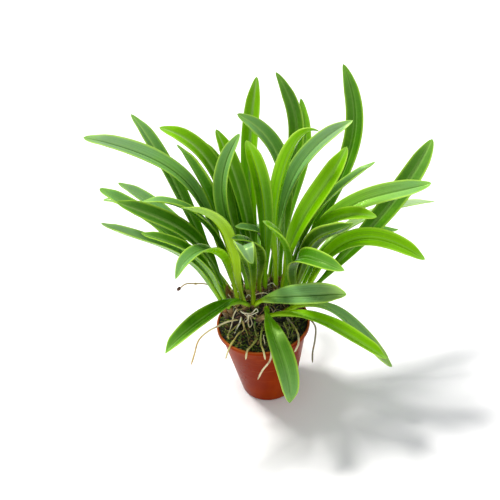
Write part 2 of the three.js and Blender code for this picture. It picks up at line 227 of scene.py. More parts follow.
class Finish:
    # one material, with a short word for each kind of node in it

    def __init__(self, name):
        self.material = bpy.data.materials.new(name)
        self.material.use_nodes = True
        self.nodes = self.material.node_tree.nodes
        self.shader = self.nodes["Principled BSDF"]

    def feed(self, socket, value):
        # a number, a tuple, a tone's name, or what another node gives
        if isinstance(value, str):
            value = (*linear(value), 1)
        if isinstance(value, (int, float, tuple)):
            socket.default_value = value
        else:
            self.material.node_tree.links.new(value, socket)

    def node(self, kind, inputs):
        node = self.nodes.new("ShaderNode" + kind)
        for key, value in inputs.items():
            self.feed(node.inputs[key], value)
        return node

    def place(self):
        return self.node("TexCoord", {}).outputs["Object"]

    def split(self, vector):
        return self.node("SeparateXYZ", {"Vector": vector}).outputs

    def surface(self):
        # the surface map as a vector, then across and along the piece
        node = self.node("UVMap", {})
        node.uv_map = "surfaceMap"
        parts = self.split(node.outputs["UV"])
        return node.outputs["UV"], parts["X"], parts["Y"]

    def tint(self, part="Color"):
        # the mesh's own tint, with how dark the midrib is as its Alpha
        node = self.node("Attribute", {})
        node.attribute_name = "tint"
        return node.outputs[part]

    def stretched(self, vector, scale):
        return self.node("Mapping", {"Vector": vector, "Scale": scale}).outputs["Vector"]

    def noise(self, vector, scale, detail=3.0, roughness=0.5):
        inputs = {"Vector": vector, "Scale": scale, "Detail": detail, "Roughness": roughness}
        return self.node("TexNoise", inputs).outputs["Fac"]

    def maths(self, kind, *values):
        node = self.node("Math", dict(enumerate(values)))
        node.operation = kind
        return node.outputs[0]

    def times(self, *values):
        product = values[0]
        for value in values[1:]:
            product = self.maths("MULTIPLY", product, value)
        return product

    def step(self, value, start, end, before=0.0, after=1.0):
        # a soft step from one number to another
        inputs = {"Value": value, "From Min": start, "From Max": end, "To Min": before, "To Max": after}
        node = self.node("MapRange", inputs)
        node.interpolation_type = "SMOOTHSTEP"
        return node.outputs["Result"]

    def mix(self, share, a, b, kind="MIX"):
        node = self.nodes.new("ShaderNodeMix")
        node.data_type = "RGBA"
        node.blend_type = kind
        node.clamp_factor = True
        for socket, value in ((0, share), (6, a), (7, b)):
            self.feed(node.inputs[socket], value)
        return node.outputs[2]

    def finished(self, look, colour, roughness, height=None):
        # look holds what is the same all over the surface, and the relief in millimetres
        self.feed(self.shader.inputs["Base Color"], colour)
        self.feed(self.shader.inputs["Roughness"], roughness)
        for key, value in look.get("shader", {}).items():
            self.feed(self.shader.inputs[key], value)
        if height:
            inputs = {"Distance": look["relief"] * mm, "Strength": look["strength"], "Height": height}
            self.feed(self.shader.inputs["Normal"], self.node("Bump", inputs).outputs["Normal"])
        return self.material


bladeLook = {
    "veins": (46, 2.2, 1), "veinShade": 0.38, "veinPale": 0.3, "mottle": 170, "mottleShare": 0.14,
    "cloud": 45, "cloudShare": 0.22, "bladeFrom": (0.2, 0.36), "rib": (0.012, 0.05), "groove": 0.8,
    "keel": 0.4, "flankAt": 0.085, "flankReach": 0.055, "flankSheen": 0.2, "margin": (0.37, 0.49),
    "marginLow": 0.25, "marginHigh": 0.6, "smooth": 0.22, "rough": 0.36, "relief": 0.05, "strength": 0.5,
    "shader": {"Subsurface Weight": 0.08, "Subsurface Radius": (0.7, 1.0, 0.1), "Subsurface Scale": 1.4 * mm,
               "IOR": 1.42, "Specular IOR Level": 0.42, "Specular Tint": (0.65, 1.0, 0.25, 1)},
}


def leafBlade():
    # waxy blade: dark groove above with painted shade in it, pale keel below, fine veins, pale streaks of
    # painted highlight, lighter margin partly painted rim light
    look = bladeLook
    blade = Finish("leafBlade")
    uv, u, v = blade.surface()
    place = blade.place()
    half = blade.maths("ABSOLUTE", blade.maths("SUBTRACT", blade.maths("FRACT", u), 0.5))
    above = blade.maths("LESS_THAN", u, 1.0)
    bladeOnly = blade.step(v, *look["bladeFrom"])
    veins = blade.noise(blade.stretched(uv, look["veins"]), 1.0, 4.0, 0.6)
    mottle = blade.noise(place, look["mottle"], 4.0)
    cloud = blade.noise(place, look["cloud"], 2.0)
    shaded = blade.step(veins, 0.36, 0.66, 0.0, look["veinShade"])
    colour = blade.mix(shaded, blade.tint(), "shade", "MULTIPLY")
    colour = blade.mix(blade.step(veins, 0.54, 0.8, 0.0, look["veinPale"]), colour, "celery")
    colour = blade.mix(blade.step(cloud, 0.5, 0.72, 0.0, look["cloudShare"]), colour, "fresh")
    colour = blade.mix(blade.step(mottle, 0.55, 0.75, 0.0, look["mottleShare"]), colour, "fresh")
    rib = blade.step(half, *look["rib"], 1.0, 0.0)
    ribDark = blade.step(blade.tint("Alpha"), 0.4, 1.0, 0.0, look["groove"])
    ribLight = blade.step(blade.tint("Alpha"), 0.0, 0.4, look["groove"], 0.0)
    # the groove takes the shade tone: painted shade in the crease, partly the midrib's own darker colour
    colour = blade.mix(blade.times(rib, above, bladeOnly, ribDark), colour, "shade")
    # a pale band along the midrib on the upper face: partly its own colour, partly painted highlight
    wide = blade.step(half, 0.015, 0.085, 1.0, 0.0)
    colour = blade.mix(blade.times(wide, above, bladeOnly, ribLight), colour, "pale")
    keel = blade.times(rib, blade.maths("SUBTRACT", 1.0, above), look["keel"])
    colour = blade.mix(keel, colour, "lime")
    # pale streaks a little off the midrib, on both faces: painted highlight
    fromFlank = blade.maths("ABSOLUTE", blade.maths("SUBTRACT", half, look["flankAt"]))
    flankSheen = blade.step(fromFlank, 0.0, look["flankReach"], look["flankSheen"], 0.0)
    colour = blade.mix(blade.times(flankSheen, bladeOnly), colour, "pale")
    # the margin lightens towards the tip: partly its own colour, partly painted rim light
    margin = blade.step(half, *look["margin"])
    edge = blade.step(v, 0.3, 1.0, look["marginLow"], look["marginHigh"])
    colour = blade.mix(blade.times(margin, edge), colour, "edge")
    roughness = blade.step(mottle, 0.3, 0.7, look["smooth"], look["rough"])
    height = blade.maths("ADD", veins, blade.times(mottle, 0.3))
    return blade.finished(look, colour, roughness, height)


dryLook = {"streaks": (22, 2.0, 1), "flecks": 900, "fleckShare": 0.5, "relief": 0.2, "strength": 0.8}


def dryFibre(name, roughness, contrast):
    # papery sheaths, old stalks and bark: streaks along the piece, darker flecks
    look = dryLook
    paper = Finish(name)
    uv = paper.surface()[0]
    streaks = paper.noise(paper.stretched(uv, look["streaks"]), 1.0, 4.0, 0.65)
    flecks = paper.noise(paper.place(), look["flecks"])
    colour = paper.mix(paper.step(streaks, 0.4, 0.7, 0.0, contrast), paper.tint(), "umber", "MULTIPLY")
    colour = paper.mix(paper.step(flecks, 0.55, 0.7, 0.0, look["fleckShare"]), colour, "umber")
    return paper.finished(look, colour, roughness, paper.maths("ADD", streaks, flecks))


skinLook = {
    "patches": 260, "grain": 2400, "patchShare": 0.6, "grainShare": 0.3, "relief": 0.12, "strength": 0.8,
    "shader": {"Subsurface Weight": 0.1, "Subsurface Radius": (1.0, 0.7, 0.4), "Subsurface Scale": 0.8 * mm},
}


def rootSkin():
    # matt skin of the roots: the tint from foot to tip, dusty brown patches
    look = skinLook
    skin = Finish("rootSkin")
    place = skin.place()
    patches = skin.noise(place, look["patches"])
    grain = skin.noise(place, look["grain"])
    colour = skin.mix(skin.step(patches, 0.5, 0.68, 0.0, look["patchShare"]), skin.tint(), "tan")
    colour = skin.mix(skin.step(grain, 0.5, 0.8, 0.0, look["grainShare"]), colour, "ivory")
    return skin.finished(look, colour, 0.7, skin.maths("ADD", patches, grain))


plasticLook = {
    "broad": 38, "fine": 700, "scuffs": (60, 60, 900), "redShare": 0.6, "scuffShare": 0.26,
    "darkShare": 0.25, "rimHighlightBand": (0.7, 0.1), "rimHighlightShare": 0.5, "relief": 0.05, "strength": 0.5,
    "shader": {"IOR": 1.3, "Specular IOR Level": 0.12, "Specular Tint": (1.0, 0.6, 0.3, 1)},
}


def potPlastic():
    # moulded terracotta-coloured plastic with faint rings, scuffs and a painted highlight along the lit top
    # edge
    look = plasticLook
    plastic = Finish("potPlastic")
    place = plastic.place()
    tall = plastic.split(place)["Z"]
    broad = plastic.noise(place, look["broad"])
    fine = plastic.noise(place, look["fine"])
    scuffs = plastic.noise(plastic.stretched(place, look["scuffs"]), 1.0, 2.0)
    colour = plastic.mix(plastic.step(broad, 0.4, 0.65, 0.0, look["redShare"]), "potRed", "potOrange")
    colour = plastic.mix(plastic.step(scuffs, 0.6, 0.8, 0.0, look["scuffShare"]), colour, "potDustAndHighlight")
    colour = plastic.mix(plastic.step(fine, 0.6, 0.75, 0.0, look["darkShare"]), colour, "potDark")
    # the top edge lightens: painted highlight where light falls on the rim
    low, high = ((pot["height"] - down) * mm for down in look["rimHighlightBand"])
    colour = plastic.mix(plastic.step(tall, low, high, 0.0, look["rimHighlightShare"]), colour, "potDustAndHighlight")
    roughness = plastic.step(broad, 0.3, 0.7, 0.26, 0.42)
    return plastic.finished(look, colour, roughness, plastic.maths("ADD", scuffs, fine))


mossLook = {"fine": 1500, "broad": 240, "dark": 0.7, "light": 0.35, "relief": 0.5, "strength": 1.0}


def mossFlesh():
    # moss shoots and the damp litter under them
    look = mossLook
    moss = Finish("mossFlesh")
    place = moss.place()
    fine = moss.noise(place, look["fine"], 4.0)
    broad = moss.noise(place, look["broad"])
    colour = moss.mix(moss.step(fine, 0.42, 0.62, 0.0, look["dark"]), moss.tint(), "peat")
    colour = moss.mix(moss.step(broad, 0.56, 0.7, 0.0, look["light"]), colour, "mossLight")
    roughness = moss.step(broad, 0.3, 0.7, 0.45, 0.85)
    return moss.finished(look, colour, roughness, moss.maths("ADD", fine, broad))


def floorPaint():
    paint = Finish("floorPaint")
    cloud = paint.noise(paint.place(), 3, 2.0)
    return paint.finished({}, paint.mix(cloud, "floorCool", "floorWarm"), 0.7)


bladeMaterial = leafBlade()
sheathMaterial = dryFibre("paperSheath", 0.6, 0.6)
litterMaterial = dryFibre("barkLitter", 0.85, 0.8)
rootMaterial = rootSkin()
mossMaterial = mossFlesh()
print("materials made")


# Pot

pot = {
    "height": 50, "rimRadius": 27.5, "lipHeight": 2.6, "neckRadius": 25.8, "baseRadius": 17,
    "wall": 1, "floor": 1.4, "lip": 1.2, "flare": 1.6, "middle": 0.05, "around": 160, "rowHeight": 4,
    "holes": 6, "holeRadius": 2.5, "holeRing": 11, "holeSides": 28, "drillLength": 8,
}


def potInside(z):
    share = np.minimum(1, z / (pot["height"] - pot["lipHeight"]))
    return pot["baseRadius"] + (pot["neckRadius"] - pot["baseRadius"]) * share - pot["wall"]


def rounded(corner, before, after, radius, steps=4):
    # an arc-like turn at a corner of the profile
    corner, before, after = (np.array(p, float) for p in (corner, before, after))
    a = corner + unit(before - corner) * radius
    b = corner + unit(after - corner) * radius
    return [(1 - t) ** 2 * a + 2 * t * (1 - t) * corner + t ** 2 * b for t in np.linspace(0, 1, steps)]


def buildPot():
    top, rim, neck, floor = pot["height"], pot["rimRadius"], pot["neckRadius"], pot["floor"]
    lipBottom = top - pot["lipHeight"]
    lipInside = rim - pot["lip"]
    # corners of half the section, each with how much it is rounded
    outline = [
        ((pot["middle"], 0), 0),
        ((pot["baseRadius"] - 0.2, 0), 0.9),
        ((neck, lipBottom), 0.25),
        ((rim, lipBottom), 0.5),
        ((rim, top), 0.5),
        ((lipInside, top), 0.5),
        ((lipInside - 0.2, top - pot["flare"]), 0.5),
        ((neck - pot["wall"], lipBottom - 1), 0.5),
        ((potInside(floor), floor), 0.7),
        ((pot["middle"], floor), 0),
    ]
    profile = []
    for i, (corner, radius) in enumerate(outline):
        if radius:
            profile += rounded(corner, outline[i - 1][0], outline[i + 1][0], radius)
        else:
            profile.append(np.array(corner, float))
    fine = [profile[0]]
    for a, b in zip(profile, profile[1:]):
        pieces = max(1, int(np.linalg.norm(b - a) / pot["rowHeight"]))
        fine += [a + (b - a) * (k + 1) / pieces for k in range(pieces)]
    fine = np.array(fine)
    angle = anglesRound(pot["around"])
    rows = np.stack([fine[:, :1] * np.cos(angle), fine[:, :1] * np.sin(angle),
                     np.repeat(fine[:, 1:], len(angle), 1)], -1)
    shell = Bundle()
    shell.grid(rows, (1, 1, 1))
    piece = shell.piece("potShell", potPlastic(), "terracotta_plastic", ("pot",))
    for i in range(pot["holes"]):
        turn = 2 * math.pi * (i + 0.5) / pot["holes"]
        ring = pot["holeRing"] * mm
        bpy.ops.mesh.primitive_cylinder_add(
            vertices=pot["holeSides"], radius=pot["holeRadius"] * mm, depth=pot["drillLength"] * mm,
            location=(ring * math.cos(turn), ring * math.sin(turn), 0))
        drill = bpy.context.active_object
        cut = piece.modifiers.new("drain", "BOOLEAN")
        cut.operation = "DIFFERENCE"
        cut.object = drill
        bpy.context.view_layer.objects.active = piece
        bpy.ops.object.modifier_apply(modifier=cut.name)
        bpy.data.objects.remove(drill)
    return piece


buildPot()
print("pot made")


# Moss and mat: the same surfaces as in the model's source, with finer relief

medium = {
    "edgeHeight": 47.2, "summit": 57.4, "slope": 13.5, "rounding": 1.6, "relief": 0.55, "overlap": 1.048,
    "swell": 1.4, "swellFrom": 0.8, "swellOver": 0.17, "crumble": 0.45, "around": 120, "wallRows": 12,
    "crownRows": 46,
}
mat = {
    "middleY": 7, "halfLength": 22, "halfDepth": 16.2, "rim": 1.2, "summit": 66.5, "roundness": 3.5,
    "relief": 0.5, "worn": 2.6, "wornAt": -7.5, "wornReach": 4.5, "crumble": 0.5, "around": 110,
    "crownRows": 34, "underRows": 8,
}
gap = 0.3


def ripple(x, y):
    return 0.5 * np.sin(0.83 * x + 1.3) * np.cos(0.71 * y - 0.4) + 0.5 * np.sin(0.57 * x - 0.93 * y)


def matShare(x, y):
    return np.hypot(x / mat["halfLength"], (y - mat["middleY"]) / mat["halfDepth"])


def mediumShare(x, y):
    return np.minimum(1, np.hypot(x, y) / (potInside(medium["edgeHeight"]) - gap))


def mediumTop(x, y):
    share = mediumShare(x, y)
    most = medium["summit"] - medium["edgeHeight"]
    rise = most * (1 - np.exp(-medium["slope"] * (1 - share) / most * medium["rounding"]))
    clear = np.clip(6 * (matShare(x, y) - 1), 0, 1)
    relief = np.minimum(clear, 4 * (1 - share)) * medium["relief"] * ripple(1.7 * x, 1.7 * y)
    return medium["edgeHeight"] + rise + relief


def matTop(x, y):
    share = np.minimum(1, matShare(x, y))
    edge = mediumTop(x, y) + 2 * gap + mat["rim"]
    dome = edge + (mat["summit"] - edge) * np.sqrt(1 - share ** mat["roundness"])
    return dome + (1 - share ** 4) * mat["relief"] * ripple(x, y)


def mossTop(x, y):
    # the moss swells a little against the rim
    outer = np.clip((mediumShare(x, y) - medium["swellFrom"]) / medium["swellOver"], 0, 1)
    return mediumTop(x, y) + medium["swell"] * outer ** 2


def matFace(x, y):
    # the mat's front slope is worn lower, so that the leaf stalks and roots come out of it
    worn = mat["worn"] * np.exp(-((y - mat["wornAt"]) / mat["wornReach"]) ** 2)
    return np.maximum(matTop(x, y) - worn, mediumTop(x, y) + 2 * gap + 0.3)


def crumble(x, y, size):
    # small uneven relief of litter
    bumps = np.sin(3.1 * x + 1.7 * np.sin(2.3 * y)) * np.sin(2.7 * y + 1.3 * np.sin(3.7 * x))
    return size * (0.6 * bumps + 0.4 * np.sin(7.3 * x + 2.1 * y) * np.sin(6.1 * y - 3.3 * x))


def domeRows(centre, reachX, reachY, rings, around, height, outer=1.0):
    rows = []
    angle = anglesRound(around)
    for share in np.linspace(outer, 0.01, rings):
        x = centre[0] + share * reachX * np.cos(angle)
        y = centre[1] + share * reachY * np.sin(angle)
        rows.append(np.stack([x, y, height(x, y, share)], -1))
    return np.array(rows)


def buildMedium():
    top = float(potInside(medium["edgeHeight"]) - gap)
    angle = anglesRound(medium["around"])
    wall = []
    for z in np.linspace(pot["floor"] + gap, medium["edgeHeight"], medium["wallRows"]):
        radius = np.minimum(potInside(z) - gap - 0.1, top)
        wall.append(np.stack([radius * np.cos(angle), radius * np.sin(angle), np.full_like(angle, z)], -1))

    def height(x, y, share):
        return mossTop(x, y) + crumble(x, y, medium["crumble"]) * np.clip(5 * (1 - share), 0, 1)

    crown = domeRows((0, 0), top, top, medium["crownRows"], medium["around"], height, medium["overlap"])
    bulk = Bundle()
    bulk.grid(np.concatenate([np.array(wall), crown]), linear("mossDark"))
    return bulk.piece("mossBed", mossMaterial, "moss_and_bark", ("growing_medium",))


def buildMat():
    reach = ((0, mat["middleY"]), mat["halfLength"], mat["halfDepth"])

    def height(x, y, share):
        return matFace(x, y) + crumble(1.3 * x, 1.3 * y, mat["crumble"]) * min(1, 4 * (1 - share))

    def seat(x, y, share):
        return mediumTop(x, y) + 2 * gap

    crown = domeRows(*reach, mat["crownRows"], mat["around"], height)
    under = domeRows(*reach, mat["underRows"], mat["around"], seat)[::-1]
    rows = np.concatenate([under, crown])
    x, y = rows[..., :1], rows[..., 1:2]
    brown = 0.5 + 0.5 * np.sin(2.1 * x + np.sin(1.3 * y)) * np.sin(1.7 * y)
    green = np.clip(np.sin(0.9 * x + 1.4 * np.sin(0.8 * y)) + (3 - y) / 9, 0, 1)
    tint = linear("peat") * (1 - brown) + linear("bark") * brown
    body = Bundle()
    body.grid(rows, tint * (1 - green) + linear("mossDark") * green)
    return body.piece("rhizomeMat", litterMaterial, "rhizome_and_sheaths", ("rhizome_mat",))


buildMedium()
buildMat()
print("moss bed and rhizome mat made")


# Leaves: how the tones run along a blade, at the stalk, low, high and at the tip

# The schemes hold the light and shade each blade shows as well as its own colour: their bluish and whitish
# greens are painted sheen, the bright scheme is partly painted light coming through a young blade, and the
# dark and shaded schemes are partly painted shade.
leafTones = {
    "bright": "lime sprig sprig fresh",
    "green": "fresh leaf leaf sprig",
    "dark": "leaf deep deep waxy",
    "waxy": "fresh leaf waxy misty",
    "silverSheen": "lime waxy misty frost",
    "mint": "lime misty mint pale",
    "soft": "lime sprig celery misty",
    "shaded": "olive shade shade deep",
    "yellow": "olive lime lime pale",
    "whiteSheen": "fresh pale dew dew",
}


def strap(foot, through, width, roll, above, below="green", rib=0.25, taper=0.55):
    # midrib route, width, roll, tones of both faces, how dark the midrib is, where the blade narrows
    return {"foot": foot, "through": through, "width": width, "roll": roll, "above": above, "below": below,
            "rib": rib, "taper": taper}


leaves = {
    "leaf_01": strap(
        (-12.5, 11), [(-24, 14, 114), (-40, 20, 143), (-81, 29.5, 162)],
        11, -15, "silverSheen", rib=0.85, taper=0.45),
    "leaf_02": strap(
        (-16.5, 8), [(-32, 18, 106), (-44, 31, 138), (-59, 46, 165)], 9.5, 0, "waxy", rib=0.0),
    "leaf_03": strap(
        (-5.5, 12.5), [(-12, 17, 109), (-20, 23, 143), (-42, 28, 164)], 10.5, -20, "green", rib=0.05),
    "leaf_04": strap(
        (-4, 19), [(-9, 26, 105), (-17, 34, 136), (-29, 40, 150)], 9, 0, "dark"),
    "leaf_05": strap(
        (-9.5, 7.5), [(-16, 6, 104), (-22.5, 7.5, 133), (-33, 8.5, 161.5)],
        11.5, 40, "waxy", "dark", rib=0.3, taper=0.5),
    "leaf_06": strap(
        (-1, 13), [(-3, 16, 104), (-7, 22, 133), (-14, 28, 159)], 9.5, -10, "green", rib=0.1),
    "leaf_07": strap(
        (-6, 2), [(-11, 0, 109), (-14, 2, 138), (-3.5, 8, 164)], 9, -15, "waxy", rib=0.85),
    "leaf_08": strap(
        (2, 18), [(0, 30, 109), (3, 44, 143), (10, 58, 174)], 9.5, 0, "bright", rib=0.1),
    "leaf_09": strap(
        (11.5, 15.5), [(18, 25, 107), (17, 30, 140), (-1, 32, 165)], 10, 0, "waxy", rib=0.1),
    "leaf_10": strap(
        (2.5, 8.5), [(6, 5, 106), (6, 6, 135), (1, 4, 162)], 9.5, 5, "waxy", "green"),
    "leaf_11": strap(
        (9, 8), [(11, 10, 97), (14, 12, 122), (22, 12, 149), (36, 8, 163)], 10, -55, "waxy", "bright"),
    "leaf_12": strap(
        (5.5, 21), [(20, 34, 111), (30, 45, 145), (22, 56, 176)], 9, 0, "dark", taper=0.6),
    "leaf_13": strap(
        (9.5, 20.5), [(23, 36, 103), (34, 50, 128), (35, 62, 157)], 8, 0, "green"),
    "leaf_14": strap(
        (8, 14), [(17, 18, 112), (31, 18, 143), (54, 16, 162)], 10, 30, "silverSheen", rib=0.6, taper=0.6),
    "leaf_15": strap(
        (12, 3.5), [(22, 3, 105), (36, 2, 131), (50, 6, 152)], 11, 40, "bright"),
    "leaf_16": strap(
        (15.5, 17), [(45, 32, 106), (63, 50, 138), (61, 68, 172)], 10.5, 10, "dark", rib=0.6, taper=0.6),
    "leaf_17": strap(
        (13.5, 8.5), [(30, 9, 105), (46, 8, 127), (65, 9, 141)], 8.5, -5, "waxy"),
    "leaf_18": strap(
        (16.8, 11.2), [(40, 12, 104), (67, 10, 120), (94, 6, 127)], 11, 35, "soft", rib=0.8),
    "leaf_19": strap(
        (21, 8), [(55, 14, 85), (82, 24, 110), (104, 38, 135)], 12.5, 40, "dark"),
    "leaf_20": strap(
        (18.2, 14.5), [(48, 31, 81), (80, 40, 91), (111, 46, 91)], 9, -5, "whiteSheen", taper=0.65),
    "leaf_21": strap(
        (17.5, 6), [(29, 5, 96), (43, -2, 116), (61.5, -11.5, 121.5)], 9.5, 15, "bright"),
    "leaf_22": strap(
        (17, 1), [(27, -5, 99), (36, -12, 114), (48, -20, 124)], 9.5, -72, "waxy", "shaded", taper=0.75),
    "leaf_23": strap(
        (20.4, 11.4), [(40, 16, 82), (61, 23, 87), (85, 30, 84)], 8.5, 5, "waxy", rib=0.6, taper=0.7),
    "leaf_24": strap(
        (21, 3.5), [(44, -1, 96), (67, -7, 103), (87, -16, 95)], 11, 30, "bright", rib=0.65, taper=0.62),
    "leaf_25": strap(
        (16.5, -3), [(20, -10, 92), (25, -23, 108), (40, -38, 110)],
        10.5, 15, "dark", "shaded", rib=0.7, taper=0.68),
    "leaf_26": strap(
        (-5, -2), [(1.5, -8, 72), (12, -16, 78.5), (27, -24, 84), (42, -34, 91)],
        12.5, 25, "mint", rib=0.95, taper=0.72),
    "leaf_27": strap(
        (-6, -0.5), [(-13.3, -8.4, 73), (-22, -17, 76.5), (-36.5, -30.5, 77), (-51, -44, 74)],
        11, 0, "dark", rib=0.5, taper=0.85),
    "leaf_28": strap(
        (3, -1.5), [(4, -28, 66), (8, -46, 59), (9, -58, 44)], 12, -10, "waxy", rib=0.35, taper=0.7),
    "leaf_29": strap(
        (-4.5, -6.5), [(3, -9.8, 61.5), (20, -18, 66.5), (42, -31, 62), (62, -42, 52)],
        10, 5, "bright", taper=0.65),
    "leaf_30": strap(
        (10, -5.5), [(35, -14, 67), (53, -24, 53), (68, -33, 36)], 8.5, 12, "mint"),
    "leaf_31": strap(
        (-9, -2.5), [(-13.2, -8.5, 102.2), (-18, -14, 128), (-33, -20, 143)],
        9.5, 20, "silverSheen", "yellow", taper=0.62),
    "leaf_32": strap(
        (-13.5, 4.5), [(-19, 5, 101.5), (-32, -2, 130), (-53, -6, 141)], 8, 5, "waxy", "dark"),
    "leaf_33": strap(
        (-20.5, 6), [(-29, 5, 100), (-47, 3, 123), (-67, -1, 139)], 11, -30, "dark", rib=0.1, taper=0.62),
    "leaf_34": strap(
        (-20, 11), [(-38, 14, 93), (-58, 19, 116), (-80, 24, 134)], 10, -5, "waxy", taper=0.42),
    "leaf_35": strap(
        (-15.2, 15.8), [(-34, 28, 88), (-53, 40, 107), (-75, 50, 123)], 9.5, 0, "silverSheen"),
    "leaf_36": strap(
        (-16.6, 12.7), [(-40, 22, 85), (-61, 33, 108), (-84, 42, 118)], 8, 0, "silverSheen", taper=0.42),
    "leaf_37": strap(
        (-20, 1.5), [(-35, -4, 98), (-55, -9, 119), (-74, -14, 135)], 9, 0, "silverSheen", taper=0.42),
    "leaf_38": strap(
        (-17, -1), [(-28, -6, 96), (-40, -12, 116), (-55, -17, 129)], 9, -10, "dark", rib=0.1),
    "leaf_39": strap(
        (-13, -1.5), [(-18.2, -0.9, 96.4), (-29, -21.2, 117.4), (-40, -37, 115)],
        9.5, 0, "waxy", "bright", rib=0.6, taper=0.75),
    "leaf_40": strap(
        (-5, -2.5), [(-4.6, -10.5, 97.2), (-6.6, -24.2, 120.1), (-3, -36, 119)],
        10.5, -15, "silverSheen", "shaded"),
    "leaf_41": strap(
        (-1, 4.5), [(1, 1, 90), (-1, -8, 108), (-11, -19, 122)], 8.5, -20, "shaded", "shaded"),
    "leaf_42": strap(
        (3, 13.5), [(4, 14, 92), (1.5, 11.8, 104.4), (-9, 4, 114)], 6.5, -20, "waxy"),
    "leaf_43": strap(
        (12.5, -1), [(16, -5, 93), (13, -11, 113), (5, -18, 129)], 8, -45, "green", "green"),
    "leaf_44": strap(
        (-10, 17.5), [(-14, 24, 92), (-21, 31, 111), (-31, 37, 119)], 8.5, 15, "green"),
    "leaf_45": strap(
        (-9, 21.5), [(-15, 36, 84), (-20, 56, 92), (-28, 74, 74)], 10, 0, "waxy"),
    "leaf_46": strap(
        (0.5, 21.5), [(3, 37, 78), (6, 54, 80), (8, 70, 65)], 10, 0, "green"),
}
leafForm = {
    "footDepth": 4, "sheathRadius": 1.45, "stalkRadius": 1.1, "ribThickness": 1.5, "marginThickness": 0.45,
    "tipThickness": 0.8, "groove": 0.35, "crease": 0.22, "creaseReach": 0.38, "keel": 0.32, "keelReach": 0.5,
    "rising": 1.15, "bladeStart": 0.16, "opensBy": 0.35, "stalkFold": 0.1, "bladeFold": 0.72,
    "flattening": 0.4, "reach": 1.018, "steps": 58, "crowding": 1.15, "closing": 14, "tipHalf": 0.05,
    "across": (0, 0.09, 0.22, 0.4, 0.6, 0.8, 0.94, 1),
    "waver": 0.22, "tonePlaces": (0.17, 0.42, 0.7, 0.96), "young": 0.75, "ripe": 0.6, "ripeFrom": 0.93,
}


def along(points, t):
    # a smooth curve through a few points, by repeated blending of neighbours
    t = np.asarray(t, float)[:, None]
    row = [np.broadcast_to(np.asarray(p, float), (len(t), 3)) for p in points]
    last = len(row) - 1
    for k in range(1, last + 1):
        for i in range(last - k + 1):
            low, high = i / last, (i + k) / last
            row[i] = (row[i] * (high - t) + row[i + 1] * (t - low)) / (high - low)
    return row[0]


def measured(points, shares):
    # points at even shares of the run's length, and the directions there
    t = np.linspace(0, leafForm["reach"], 400)
    fine = along(points, t)
    length = np.concatenate([[0], np.cumsum(np.linalg.norm(np.diff(fine, axis=0), axis=1))])
    at = np.interp(np.asarray(shares) * length[-1], length, t)
    step = 0.002
    return along(points, at), unit(along(points, at + step) - along(points, at - step))


def leafRoute(one):
    x, y = one["foot"]
    return [(x, y, float(matTop(x, y)) - leafForm["footDepth"]), *one["through"]]


def halfWidth(share, width, taper):
    f = leafForm
    u = np.clip((share - f["bladeStart"]) / (1 - f["bladeStart"]), 0, 1)
    peak = f["rising"] / (f["rising"] + taper)
    shape = (u / peak) ** f["rising"] * ((1 - u) / (1 - peak)) ** taper
    blade = f["stalkRadius"] * np.minimum(1, 8 * (1 - u)) + (width / 2 - f["stalkRadius"]) * shape
    settle = np.clip((share - f["bladeStart"] + 0.04) / 0.06, 0, 1)
    return f["sheathRadius"] * (1 - settle) + blade * settle


def leafFrames(one, shares):
    # midrib points, and the directions across and above the blade there
    route = leafRoute(one)
    at, heading = measured(route, shares)
    across = unit(np.array([route[-1][1] - route[0][1], route[0][0] - route[-1][0], 0.0]))
    sides = []
    for d in heading:
        across = across - d * across.dot(d)
        across = across / np.linalg.norm(across)
        sides.append(across)
    sides = np.array(sides)
    roll = math.radians(one["roll"])
    sides = sides * math.cos(roll) + np.cross(heading, sides) * math.sin(roll)
    return at, sides, np.cross(sides, heading)


def bladeSection(s, half, u, waves):
    # heights of the upper and the lower face, round at the stalk and folded along the blade
    f = leafForm
    opening = np.minimum(1, u / f["opensBy"])
    opening = opening * opening * (3 - 2 * opening)
    rib = (f["ribThickness"] * (1 - u ** 3) + f["tipThickness"] * u ** 3) / 2
    fold = f["stalkFold"] + (f["bladeFold"] - f["stalkFold"]) * np.minimum(1, u / 0.15)
    lift = half * fold * (1 - f["flattening"] * u)
    thin = f["marginThickness"] / 2
    middle = rib - f["groove"] * 0.45
    crease = f["crease"] * np.exp(-(s * half / f["creaseReach"]) ** 2)
    top = middle + (lift + thin - middle) * np.abs(s) - crease
    keel = f["keel"] * np.exp(-(s * half / f["keelReach"]) ** 2)
    body = (middle + rib - 2 * thin - f["keel"]) * (1 - np.abs(s)) ** 1.3
    bottom = top + crease - 2 * thin - body - keel
    circle = half * np.sqrt(np.maximum(1 - s ** 2, 0.02)) * 0.92
    upper = circle * (1 - opening) + (top + waves) * opening
    lower = -circle * (1 - opening) + (bottom + waves) * opening
    return upper, lower


